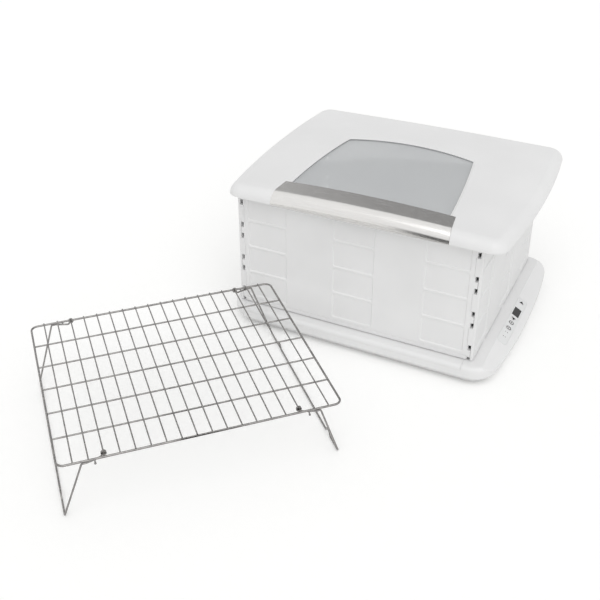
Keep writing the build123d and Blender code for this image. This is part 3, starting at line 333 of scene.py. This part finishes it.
FINISHES = {
    "white_housing": MouldedPlastic("moulded_abs_white", "#E9E9E9", "#E6E6E6"),
    "white_wall": MouldedPlastic("moulded_polypropylene_white", "#E9E9E9", "#E5E5E5",
                                 roughness=0.5),
    "inner_plastic": MouldedPlastic("moulded_polypropylene_inner", "#E6E6E5", "#E1E1E0",
                                    roughness=0.55),
    "overlay_film": MouldedPlastic("printed_polyester_film", "#E4E5E5", "#E0E1E1", roughness=0.34),
    "button_plastic": MouldedPlastic("moulded_button_cap", "#E4E4E4", "#DFDFDF", roughness=0.38),
    "foot_rubber": MouldedPlastic("moulded_foot_rubber", "#3A3A3A", "#2C2C2C", roughness=0.8),
    "gasket_rubber": MouldedPlastic("extruded_grey_silicone", "#A4A6A7", "#8E9091", roughness=0.7),
    "display_black": MouldedPlastic("polished_black_lens", "#141516", "#0C0C0D", roughness=0.12,
                                    grain_depth_mm=0.002),
    "inlet_black": MouldedPlastic("moulded_black_nylon", "#1E1E1F", "#151516", roughness=0.5),
    "board_green": MouldedPlastic("solder_resist_green", "#1F5B34", "#174A2A", roughness=0.35),
    "plate_aluminium": BrushedSteel("rolled_aluminium", "#CFD0D1", "#B4B5B7", roughness=0.34),
    "heater_foil": BrushedSteel("etched_heater_foil", "#B79A6C", "#9A8058", along=(1.0, 40.0, 1.0)),
    "sensor_metal": BrushedSteel("turned_brass", "#C8A964", "#A98D4E", along=(1.0, 1.0, 20.0)),
    "screw_steel": BrushedSteel("zinc_plated_steel", "#B9BBBD", "#9A9C9F", along=(1.0, 1.0, 6.0)),
    "pin_steel": BrushedSteel("drawn_steel", "#BDBDBC", "#A2A2A1", along=(30.0, 1.0, 1.0)),
    "trim_steel": BrushedSteel("brushed_stainless_steel", "#E6E5E3", "#DCDAD8", roughness=0.22,
                               line_mm=0.3, depth_mm=0.002),
    "rack_wire": PlatedWire("nickel_plated_wire", "#9A9896", "#838180"),
    "smoky_pane": SmokyPane("smoky_polycarbonate", "#E2E4E5", "#DBDDDF"),
    "insulation_felt": NeedledFelt("needled_glass_felt", "#D8D2C0", "#BDB6A2"),
}


class Wardrobe:
    """Materials of the record's slots, and which slot each node takes."""

    def __init__(self, record: dict, finishes: dict) -> None:
        """Builds every finish.

        Args:
            record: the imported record.
            finishes: finish of each material slot.
        """
        self.materials = {slot: finish.build() for slot, finish in finishes.items()}
        self.slot_of = {part["node"]: part["material_slot"] for part in record["subparts"]}

    def dress_node(self, node: str) -> None:
        """Gives a node of the solids the material of its slot."""
        solid = NODES[node]
        solid.data.materials.clear()
        solid.data.materials.append(self.materials[self.slot_of[node]])
        log.info("dressed %s as %s", node, self.slot_of[node])

    def dress_piece(self, piece: bpy.types.Object, slot: str) -> None:
        """Gives a new piece the material of a slot."""
        piece.data.materials.append(self.materials[slot])


# ------------------------------------------------------------ mesh helper
def skin_loops(name: str, loops: np.ndarray, closed: bool) -> bpy.types.Object:
    """Joins loops of points into one closed surface.

    Point k of each loop is joined to point k of the next. A closed band runs on from the
    last loop to the first, and an open one is capped by its two end loops.

    Args:
        name: name of the new object.
        loops: array of loops by points by three coordinates, in metres.
        closed: True for a band such as a ring, False for a capped form.

    Returns:
        The object, linked to the scene.
    """
    count, points, _ = loops.shape
    index = np.arange(count * points).reshape(count, points)
    following = np.roll(index, -1, axis=0) if closed else index[1:]
    here = index if closed else index[:-1]
    quads = np.stack([here, np.roll(here, -1, axis=1),
                      np.roll(following, -1, axis=1), following], axis=-1).reshape(-1, 4)
    faces = quads.tolist()
    if not closed:
        faces += [index[0][::-1].tolist(), index[-1].tolist()]
    mesh = bpy.data.meshes.new(name)
    mesh.from_pydata(loops.reshape(-1, 3).tolist(), [], faces)
    piece = bpy.data.objects.new(name, mesh)
    bpy.context.scene.collection.objects.link(piece)
    log.info("made %s with %d faces", name, len(faces))
    return piece


# ------------------------------------------------------------ sub-assemblies
@dataclass
class SubAssembly:
    """Pieces of the solids that are dressed together."""

    nodes: tuple[str, ...]

    def build(self, wardrobe: Wardrobe) -> None:
        """Dresses the nodes.

        Args:
            wardrobe: materials of the slots.
        """
        for node in self.nodes:
            wardrobe.dress_node(node)


class Symbol(Enum):
    """Generic symbols printed on the console's buttons."""

    UP = "up_button"
    DOWN = "down_button"
    MODE = "mode_button"
    POWER = "power_button"


@dataclass
class Console(SubAssembly):
    """Sloped console: overlay, display, buttons and their printed symbols."""

    triangle_mm: float = 4.5
    ring_mm: float = 4.2
    ring_line_mm: float = 1.3
    dot_mm: float = 1.3
    bar_mm: tuple[float, float] = (0.6, 1.9)
    bar_fill: float = 3.0
    ink_mm: float = 0.05
    indicator_rows_mm: tuple[float, float] = (-61.0, -74.0)
    indicator_offset_mm: float = 1.9
    indicator_mm: float = 0.78
    indicator_foot_mm: float = -0.55
    face_tolerance_mm: float = 0.01
    samples: int = 96

    def build(self, wardrobe: Wardrobe) -> None:
        """Dresses the console and prints its symbols and indicator dots."""
        super().build(wardrobe)
        self.read_slope()
        for symbol in Symbol:
            for piece in self.symbol_pieces(symbol):
                wardrobe.dress_piece(piece, "display_black")
                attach(piece, symbol.value)
        for piece in self.indicator_pieces():
            wardrobe.dress_piece(piece, "display_black")
            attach(piece, "base")

    def read_slope(self) -> None:
        """Takes the console's three directions from the way its buttons press."""
        joints = frame["record"]["behaviour"]["joints"]
        press = next(j for j in joints if j["name"] == "up_button_press")
        self.outward = -np.array(press["axis"], dtype=float)
        self.back = np.array((0.0, 1.0, 0.0))
        self.down_slope = np.cross(self.back, self.outward)

    def cap_middle(self, node: str) -> np.ndarray:
        """Middle of a button's top face.

        Args:
            node: node of the button.

        Returns:
            The middle in metres.
        """
        mesh = NODES[node].data
        flat = np.empty(len(mesh.vertices) * 3)
        mesh.vertices.foreach_get("co", flat)
        points = flat.reshape(-1, 3)
        height = points @ self.outward
        top = points[height > height.max() - self.face_tolerance_mm * MM]
        return (top.min(axis=0) + top.max(axis=0)) / 2

    def polygon(self, radius_mm: float, sides: int, turn: float) -> np.ndarray:
        """Outline of a regular polygon in polar form.

        The radius is R cos(h) / cos(a - h), where h is half the angle of one side and a the
        angle past the last corner.

        Args:
            radius_mm: distance of the corners from the middle.
            sides: number of sides; many give a circle.
            turn: angle of the first corner.

        Returns:
            Points by two coordinates in metres: down the slope and to the back.
        """
        step = 2 * math.pi / sides
        angle = np.linspace(0.0, 2 * math.pi, self.samples, endpoint=False)
        reach = radius_mm * MM * math.cos(step / 2) / np.cos(angle % step - step / 2)
        return np.stack([np.cos(angle + turn), np.sin(angle + turn)], axis=1) * reach[:, None]

    def lift(self, middle: np.ndarray, outline: np.ndarray, height_mm: float) -> np.ndarray:
        """Places a flat outline at a height over the console's face."""
        across = outline[:, :1] * self.down_slope + outline[:, 1:] * self.back
        return middle + across + self.outward * height_mm * MM

    def solid_mark(self, name: str, middle: np.ndarray, outline: np.ndarray,
                   foot_mm: float, top_mm: float) -> bpy.types.Object:
        """Filled mark between two heights."""
        loops = np.stack([self.lift(middle, outline, foot_mm), self.lift(middle, outline, top_mm)])
        return skin_loops(name, loops, closed=False)

    def ring_mark(self, name: str, middle: np.ndarray) -> bpy.types.Object:
        """Printed ring round a middle."""
        outer = self.polygon(self.ring_mm, self.samples, 0.0)
        inner = outer * (1 - self.ring_line_mm / self.ring_mm)
        low, high = -self.ink_mm, self.ink_mm
        loops = np.stack([self.lift(middle, outer, low), self.lift(middle, outer, high),
                          self.lift(middle, inner, high), self.lift(middle, inner, low)])
        return skin_loops(name, loops, closed=True)

    def symbol_pieces(self, symbol: Symbol) -> list[bpy.types.Object]:
        """Makes the marks of one symbol on its button."""
        middle = self.cap_middle(symbol.value)
        name = f"{symbol.value}_mark"
        if symbol in (Symbol.UP, Symbol.DOWN):
            turn = math.pi / 2 if symbol is Symbol.UP else -math.pi / 2
            outline = self.polygon(self.triangle_mm, 3, turn)
            return [self.solid_mark(name, middle, outline, -self.ink_mm, self.ink_mm)]
        pieces = [self.ring_mark(name, middle)]
        if symbol is Symbol.MODE:
            dot = self.polygon(self.dot_mm, self.samples, 0.0)
        else:
            dot = self.polygon(math.hypot(*self.bar_mm), 4, math.pi / 4)
            limit = np.array(self.bar_mm) * MM
            dot = np.sign(dot) * np.minimum(np.abs(dot) * self.bar_fill, limit)
        pieces.append(self.solid_mark(f"{name}_middle", middle, dot, -self.ink_mm, self.ink_mm))
        return pieces

    def indicator_pieces(self) -> list[bpy.types.Object]:
        """Makes the four dark indicator dots in the overlay's holes."""
        cap = self.cap_middle(Symbol.POWER.value)
        overlay = NODES["control_overlay"].data
        face = max(self.outward @ np.array(v.co) for v in overlay.vertices)
        start = cap + self.outward * (face - self.outward @ cap)
        outline = self.polygon(self.indicator_mm, self.samples, 0.0)
        pieces = []
        for row, y in enumerate(self.indicator_rows_mm):
            for column, side in enumerate((-1, 1)):
                shift = self.down_slope * side * self.indicator_offset_mm * MM
                middle = start + shift + self.back * (y * MM - start[1])
                name = f"indicator_{row}_{column}"
                pieces.append(self.solid_mark(name, middle, outline, self.indicator_foot_mm,
                                              -self.ink_mm))
        return pieces


BASE_NODES = ("base_housing", "front_hinge_cover", "front_latches", "base_pan", "base_feet",
              "base_screws", "power_inlet")
HEATER_NODES = ("heating_plate", "heating_element", "insulation_pad", "temperature_sensor",
                "thermal_cutout", "water_tray")
CONSOLE_NODES = ("control_overlay", "display_lens", "display_module", "control_board",
                 "board_screws", "button_switches", "up_button", "down_button", "mode_button",
                 "power_button")
CHAMBER_NODES = ("left_side_wall", "right_side_wall", "side_wall_pins", "front_wall_pins",
                 "back_wall_pins", "front_wall", "back_wall")
LID_NODES = ("lid_shell", "lid_liner", "window_gasket", "window_pane", "handle_trim",
             "lid_screws", "lid_hinge_brackets", "lid_hinge_pins", "lid_hinge_arms")
RACK_NODES = ("rack_frame", "rack_long_wires", "rack_cross_wires", "rack_leg_pivots",
              "rack_left_leg", "rack_right_leg")


# ------------------------------------------------------------ studio
@dataclass
class Studio:
    """Floor, soft light, two cards for the steel trim and the photograph's camera."""

    azimuth: float = 27.795
    elevation: float = 30.907
    roll: float = -1.041
    focal_px: float = 937.02
    axis_px: tuple[float, float] = (273.10, 261.84)
    frame_px: float = 600.0
    camera_mm: tuple[float, float, float] = (448.32, -1293.06, 885.35)
    sensor_mm: float = 36.0
    floor_radius_mm: float = 9000.0
    floor_drop_mm: float = 0.4
    floor_sides: int = 64
    floor_fibre_mm: float = 3.0
    floor_glow: float = 0.14
    world_strength: float = 0.71
    sun_strength: float = 0.95
    sun_spread: float = 60.0
    sun_turn: tuple[float, float, float] = (38.0, 0.0, 31.0)
    card_distance_mm: float = 1500.0
    card_half_mm: tuple[float, float] = (620.0, 480.0)
    card_levels: tuple[float, float, float] = (0.28, 0.34, 0.52)
    card_stops: tuple[float, float, float] = (0.1, 0.5, 0.9)
    trim_normal: tuple[float, float, float] = (0.0, -0.13, 0.99)
    dark_card_mm: tuple[float, float, float] = (30.0, -580.0, 125.0)
    dark_card_half_mm: tuple[float, float] = (75.0, 110.0)
    dark_card_level: float = 0.02
    view_limit: float = 100.0

    def build(self) -> None:
        """Makes the floor, the surroundings, the lamp, both cards and the camera."""
        self.build_floor()
        self.build_world()
        self.build_lamp()
        self.build_grey_card()
        self.build_dark_card()
        self.build_camera()

    def build_floor(self) -> None:
        """Round pale floor just under the feet."""
        angles = np.linspace(0.0, 2 * math.pi, self.floor_sides, endpoint=False)
        radius = self.floor_radius_mm * MM
        height = np.full_like(angles, -self.floor_drop_mm * MM)
        ring = np.stack([np.cos(angles) * radius, np.sin(angles) * radius, height], 1)
        mesh = bpy.data.meshes.new("floor")
        mesh.from_pydata(ring.tolist(), [], [list(range(len(ring)))])
        floor = bpy.data.objects.new("floor", mesh)
        bpy.context.scene.collection.objects.link(floor)
        mesh.materials.append(self.floor_material())

    def seen_directly(self, tree: bpy.types.NodeTree) -> bpy.types.NodeSocket:
        """One for camera, glossy and transmitted rays, nought for the rest."""
        path = add(tree, "ShaderNodeLightPath")
        mirror = add(tree, "ShaderNodeMath", {"operation": "MAXIMUM"}, {
            0: path.outputs["Is Glossy Ray"], 1: path.outputs["Is Transmission Ray"]})
        seen = add(tree, "ShaderNodeMath", {"operation": "MAXIMUM"}, {
            0: path.outputs["Is Camera Ray"], 1: mirror.outputs[0]})
        return seen.outputs[0]

    def floor_material(self) -> bpy.types.Material:
        """White paper sweep: it takes a soft shadow and glows a little where it is seen."""
        material = new_material("white_paper_sweep")
        tree = material.node_tree
        place = add(tree, "ShaderNodeTexCoord").outputs["Object"]
        fibre = noise(tree, place, self.floor_fibre_mm)
        colour = ramp(tree, fibre, [(0.3, linear("#F4F4F3")), (0.7, linear("#F8F8F7"))])
        paper = add(tree, "ShaderNodeBsdfDiffuse", inputs={"Color": colour})
        strength = add(tree, "ShaderNodeMath", {"operation": "MULTIPLY"}, {
            0: self.seen_directly(tree), 1: self.floor_glow})
        glow = add(tree, "ShaderNodeEmission", inputs={"Strength": strength.outputs[0]})
        both = add(tree, "ShaderNodeAddShader", inputs={0: paper.outputs[0], 1: glow.outputs[0]})
        add(tree, "ShaderNodeOutputMaterial", inputs={"Surface": both.outputs[0]})
        return material

    def build_world(self) -> None:
        """Even white surroundings."""
        world = bpy.data.worlds.new("studio")
        world.use_nodes = True
        tree = world.node_tree
        tree.nodes.clear()
        strength = add(tree, "ShaderNodeMapRange", inputs={
            "Value": self.seen_directly(tree), "To Min": self.world_strength, "To Max": 1.0})
        sky = add(tree, "ShaderNodeBackground",
                  inputs={"Color": linear("#FFFFFF"), "Strength": strength.outputs[0]})
        add(tree, "ShaderNodeOutputWorld", inputs={"Surface": sky.outputs[0]})
        bpy.context.scene.world = world

    def build_lamp(self) -> None:
        """One broad soft lamp from the front right."""
        sun = bpy.data.lights.new("soft_lamp", "SUN")
        sun.energy = self.sun_strength
        sun.angle = math.radians(self.sun_spread)
        lamp = bpy.data.objects.new("soft_lamp", sun)
        lamp.rotation_euler = [math.radians(a) for a in self.sun_turn]
        bpy.context.scene.collection.objects.link(lamp)

    def build_card(self, name: str, half_mm: tuple[float, float], place: Matrix,
                   levels: tuple[float, float, float]) -> None:
        """Upright card that only glossy pieces mirror.

        Args:
            name: name of the card and its material.
            half_mm: half of its width and height.
            place: its place, facing along its own Z.
            levels: grey at its left, middle and right.
        """
        half_w, half_h = (half * MM for half in half_mm)
        corners = [(-half_w, -half_h, 0), (half_w, -half_h, 0), (half_w, half_h, 0),
                   (-half_w, half_h, 0)]
        mesh = bpy.data.meshes.new(name)
        mesh.from_pydata(corners, [], [(0, 1, 2, 3)])
        card = bpy.data.objects.new(name, mesh)
        card.matrix_world = place
        for kind in ("camera", "diffuse", "transmission", "volume_scatter", "shadow"):
            setattr(card, f"visible_{kind}", False)
        bpy.context.scene.collection.objects.link(card)
        mesh.materials.append(self.card_material(name, half_w, levels))

    def build_grey_card(self) -> None:
        """Grey card where the top of the steel trim looks; it darkens to the right end."""
        low, high = (np.array(corner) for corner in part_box("handle_trim"))
        middle = np.array(((low[0] + high[0]) / 2, high[1], high[2]))
        view = np.array(self.camera_mm) * MM - middle
        view /= np.linalg.norm(view)
        normal = np.array(self.trim_normal)
        mirrored = 2 * (normal @ view) * normal - view
        place = Matrix.Translation(middle + mirrored * self.card_distance_mm * MM)
        turn = Vector(mirrored).to_track_quat("Z", "Y").to_matrix().to_4x4()
        self.build_card("grey_card", self.card_half_mm, place @ turn, self.card_levels)

    def build_dark_card(self) -> None:
        """Dark card low in front, which the right end of the trim's nose mirrors."""
        place = Matrix.Translation(Vector(self.dark_card_mm) * MM)
        turn = Matrix.Rotation(math.radians(90.0), 4, "X")
        levels = (self.dark_card_level,) * 3
        self.build_card("dark_card", self.dark_card_half_mm, place @ turn, levels)

    def card_material(self, name: str, half: float,
                      levels: tuple[float, float, float]) -> bpy.types.Material:
        """Glowing card whose grey runs across its width.

        Args:
            name: name of the material.
            half: half of the card's width.
            levels: grey at its left, middle and right.

        Returns:
            The material.
        """
        material = new_material(name)
        tree = material.node_tree
        place = add(tree, "ShaderNodeTexCoord").outputs["Object"]
        parts = add(tree, "ShaderNodeSeparateXYZ", inputs={"Vector": place})
        across = add(tree, "ShaderNodeMapRange", inputs={
            "Value": parts.outputs["X"], "From Min": -half, "From Max": half})
        stops = [(p, (v, v, v, 1.0)) for p, v in zip(self.card_stops, levels)]
        glow = add(tree, "ShaderNodeEmission",
                   inputs={"Color": ramp(tree, across.outputs[0], stops), "Strength": 1.0})
        add(tree, "ShaderNodeOutputMaterial", inputs={"Surface": glow.outputs[0]})
        return material

    def build_camera(self) -> None:
        """Camera fitted to the photograph, with its small roll and shift."""
        turn = math.radians(self.azimuth)
        lift = math.radians(self.elevation)
        tilt = math.radians(self.roll)
        back = Vector((math.sin(turn) * math.cos(lift), -math.cos(turn) * math.cos(lift),
                       math.sin(lift)))
        right = (-back).cross(Vector((0, 0, 1))).normalized()
        up = right.cross(-back)
        right_rolled = right * math.cos(tilt) + up * math.sin(tilt)
        up_rolled = up * math.cos(tilt) - right * math.sin(tilt)
        data = bpy.data.cameras.new("photo_camera")
        data.sensor_width = self.sensor_mm
        data.lens = self.focal_px / self.frame_px * self.sensor_mm
        data.shift_x = 0.5 - self.axis_px[0] / self.frame_px
        data.shift_y = self.axis_px[1] / self.frame_px - 0.5
        data.clip_end = self.view_limit
        camera = bpy.data.objects.new("photo_camera", data)
        rotation = Matrix((right_rolled, up_rolled, back)).transposed().to_4x4()
        place = Matrix.Translation(Vector(self.camera_mm) * MM)
        camera.matrix_world = place @ rotation
        bpy.context.scene.collection.objects.link(camera)
        bpy.context.scene.camera = camera


def main() -> None:
    """Dresses the solids, adds the printed marks and sets the stage."""
    logging.basicConfig(level=logging.INFO, format="%(name)s: %(message)s")
    bpy.context.scene.view_settings.view_transform = "Standard"
    wardrobe = Wardrobe(frame["record"], FINISHES)
    assemblies = [
        SubAssembly(BASE_NODES),
        SubAssembly(HEATER_NODES),
        Console(CONSOLE_NODES),
        SubAssembly(CHAMBER_NODES),
        SubAssembly(LID_NODES),
        SubAssembly(RACK_NODES),
    ]
    for assembly in assemblies:
        assembly.build(wardrobe)
    Studio().build()
    bpy.context.view_layer.update()


if __name__ == "__main__":
    main()
